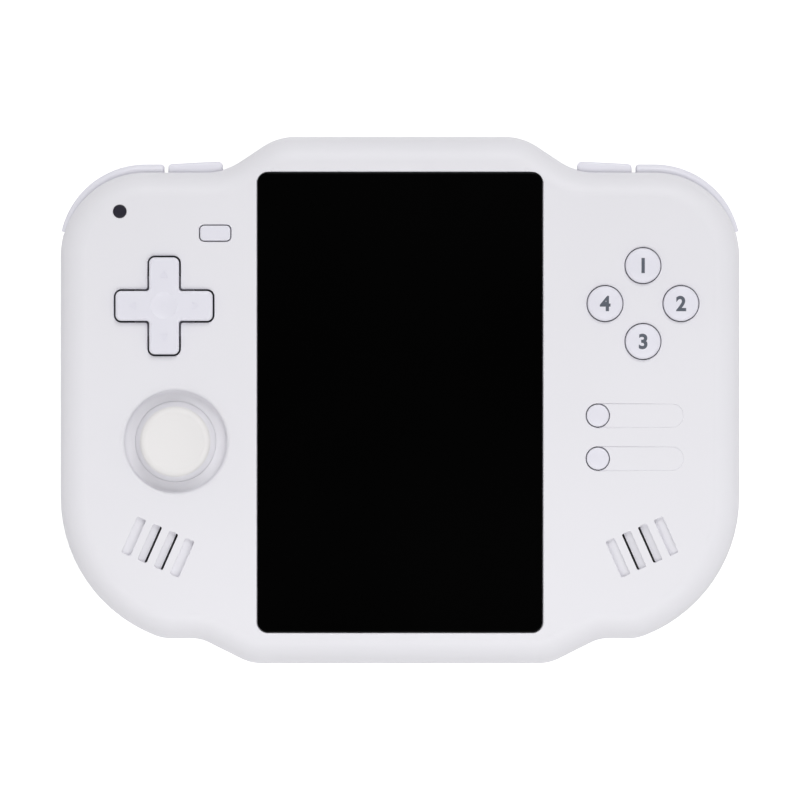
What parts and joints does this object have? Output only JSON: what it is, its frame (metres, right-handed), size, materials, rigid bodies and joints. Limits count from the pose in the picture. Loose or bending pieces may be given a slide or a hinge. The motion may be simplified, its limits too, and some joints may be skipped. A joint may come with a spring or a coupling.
{
  "type": "handheld game console",
  "caption": "Handheld game console with a portrait screen, a direction pad and thumbstick on the left, round face buttons on the right, and shoulder keys that wrap the upper corners.",
  "frame": {"origin": "under the middle of the body, on the plane of the feet", "axes": "+X to the right seen from the front, +Y to the top edge with the shoulder keys, +Z out of the screen"},
  "size_m": [0.144, 0.1116, 0.0224],
  "materials": {
    "shell": "fine satin",
    "keys": "satin",
    "stick_rubber": "matte",
    "screen_glass": "gloss black printed glass",
    "display": "gloss",
    "foam": "matte foam",
    "ribbon": "satin film",
    "board": "solder mask",
    "sheet_metal": "tinned sheet",
    "steel": "plain",
    "battery_wrap": "foil wrap",
    "dark_plastic": "satin",
    "mesh": "woven",
    "membrane": "silicone",
    "lens": "smoked gloss",
    "foot_rubber": "matte"
  },
  "bodies": {
    "housing": {"front_shell": "shell", "rear_shell": "shell", "cover_glass": "screen_glass", "screen_gasket": "foam", "display_panel": "display", "display_ribbon": "ribbon", "main_board": "board", "shield_can": "sheet_metal", "battery": "battery_wrap", "left_speaker": "dark_plastic", "right_speaker": "dark_plastic", "speaker_meshes": "mesh", "pad_post": "dark_plastic", "pad_membrane": "membrane", "face_membrane": "membrane", "menu_membrane": "membrane", "home_switch": "dark_plastic", "stick_case": "dark_plastic", "bumper_pins": "steel", "shoulder_switches": "dark_plastic", "edge_switches": "dark_plastic", "usb_port": "sheet_metal", "headphone_jack": "dark_plastic", "card_socket": "sheet_metal", "indicator_lens": "lens", "rubber_feet": "foot_rubber", "case_screws": "steel"},
    "pad_pivot": {"pad_ball": "steel"},
    "pad": {"direction_pad": "keys"},
    "face_top": {"face_button_top": "keys"},
    "face_right": {"face_button_right": "keys"},
    "face_bottom": {"face_button_bottom": "keys"},
    "face_left": {"face_button_left": "keys"},
    "menu_upper": {"menu_button_upper": "keys"},
    "menu_lower": {"menu_button_lower": "keys"},
    "home": {"home_button": "keys"},
    "stick_yoke": {"stick_yoke": "steel"},
    "stick_block": {"stick_block": "steel"},
    "stick": {"stick_shaft": "keys", "stick_cap": "stick_rubber"},
    "left_bumper": {"left_bumper": "keys"},
    "right_bumper": {"right_bumper": "keys"},
    "left_trigger": {"left_trigger": "keys"},
    "right_trigger": {"right_trigger": "keys"},
    "power_key": {"power_key": "keys"},
    "volume_rocker": {"volume_rocker": "keys"}
  },
  "joints": [
    {"name": "pad_rock_up_down", "type": "hinge", "parent": "housing", "child": "pad_pivot", "pos_m": [-0.0499, 0.0199, 0.0138], "axis": [1, 0, 0], "range_deg": [-3.5, 3.5], "stiffness_Nm_per_rad": 0.02, "deforming": ["pad_membrane"]},
    {"name": "pad_rock_left_right", "type": "hinge", "parent": "pad_pivot", "child": "pad", "pos_m": [-0.0499, 0.0199, 0.0138], "axis": [0, 1, 0], "range_deg": [-3.5, 3.5], "stiffness_Nm_per_rad": 0.02, "deforming": ["pad_membrane"]},
    {"name": "face_top_press", "type": "slide", "parent": "housing", "child": "face_top", "axis": [0, 0, -1], "range_m": [0, 0.0012], "stiffness_N_per_m": 400, "springref_m": -0.0004, "deforming": ["face_membrane"]},
    {"name": "face_right_press", "type": "slide", "parent": "housing", "child": "face_right", "axis": [0, 0, -1], "range_m": [0, 0.0012], "stiffness_N_per_m": 400, "springref_m": -0.0004, "deforming": ["face_membrane"]},
    {"name": "face_bottom_press", "type": "slide", "parent": "housing", "child": "face_bottom", "axis": [0, 0, -1], "range_m": [0, 0.0012], "stiffness_N_per_m": 400, "springref_m": -0.0004, "deforming": ["face_membrane"]},
    {"name": "face_left_press", "type": "slide", "parent": "housing", "child": "face_left", "axis": [0, 0, -1], "range_m": [0, 0.0012], "stiffness_N_per_m": 400, "springref_m": -0.0004, "deforming": ["face_membrane"]},
    {"name": "menu_upper_press", "type": "slide", "parent": "housing", "child": "menu_upper", "axis": [0, 0, -1], "range_m": [0, 0.0006], "stiffness_N_per_m": 400, "springref_m": -0.0004, "deforming": ["menu_membrane"]},
    {"name": "menu_lower_press", "type": "slide", "parent": "housing", "child": "menu_lower", "axis": [0, 0, -1], "range_m": [0, 0.0006], "stiffness_N_per_m": 400, "springref_m": -0.0004, "deforming": ["menu_membrane"]},
    {"name": "home_press", "type": "slide", "parent": "housing", "child": "home", "axis": [0, 0, -1], "range_m": [0, 0.0004], "stiffness_N_per_m": 800, "springref_m": -0.0002},
    {"name": "stick_tilt_up_down", "type": "hinge", "parent": "housing", "child": "stick_yoke", "pos_m": [-0.0475, -0.0088, 0.011], "axis": [1, 0, 0], "range_deg": [-14, 14], "stiffness_Nm_per_rad": 0.02},
    {"name": "stick_tilt_left_right", "type": "hinge", "parent": "stick_yoke", "child": "stick_block", "pos_m": [-0.0475, -0.0088, 0.011], "axis": [0, 1, 0], "range_deg": [-14, 14], "stiffness_Nm_per_rad": 0.02},
    {"name": "stick_click", "type": "slide", "parent": "stick_block", "child": "stick", "axis": [0, 0, -1], "range_m": [0, 0.0005], "stiffness_N_per_m": 800, "springref_m": -0.0003},
    {"name": "left_bumper_press", "type": "hinge", "parent": "housing", "child": "left_bumper", "pos_m": [-0.0663, 0.0371, 0.0095], "axis": [0, 0, -1], "range_deg": [0, 2.5], "stiffness_Nm_per_rad": 0.05, "springref_deg": -2.86},
    {"name": "right_bumper_press", "type": "hinge", "parent": "housing", "child": "right_bumper", "pos_m": [0.0663, 0.0371, 0.0095], "axis": [0, 0, 1], "range_deg": [0, 2.5], "stiffness_Nm_per_rad": 0.05, "springref_deg": -2.86},
    {"name": "left_trigger_press", "type": "slide", "parent": "housing", "child": "left_trigger", "axis": [0, -1, 0], "range_m": [0, 0.0008], "stiffness_N_per_m": 500, "springref_m": -0.0004},
    {"name": "right_trigger_press", "type": "slide", "parent": "housing", "child": "right_trigger", "axis": [0, -1, 0], "range_m": [0, 0.0008], "stiffness_N_per_m": 500, "springref_m": -0.0004},
    {"name": "power_press", "type": "slide", "parent": "housing", "child": "power_key", "axis": [0, -1, 0], "range_m": [0, 0.0004], "stiffness_N_per_m": 800, "springref_m": -0.0002},
    {"name": "volume_rock", "type": "hinge", "parent": "housing", "child": "volume_rocker", "pos_m": [-0.01, 0.05265, 0.0092], "axis": [0, 0, 1], "range_deg": [-2, 2], "stiffness_Nm_per_rad": 0.01}
  ]
}
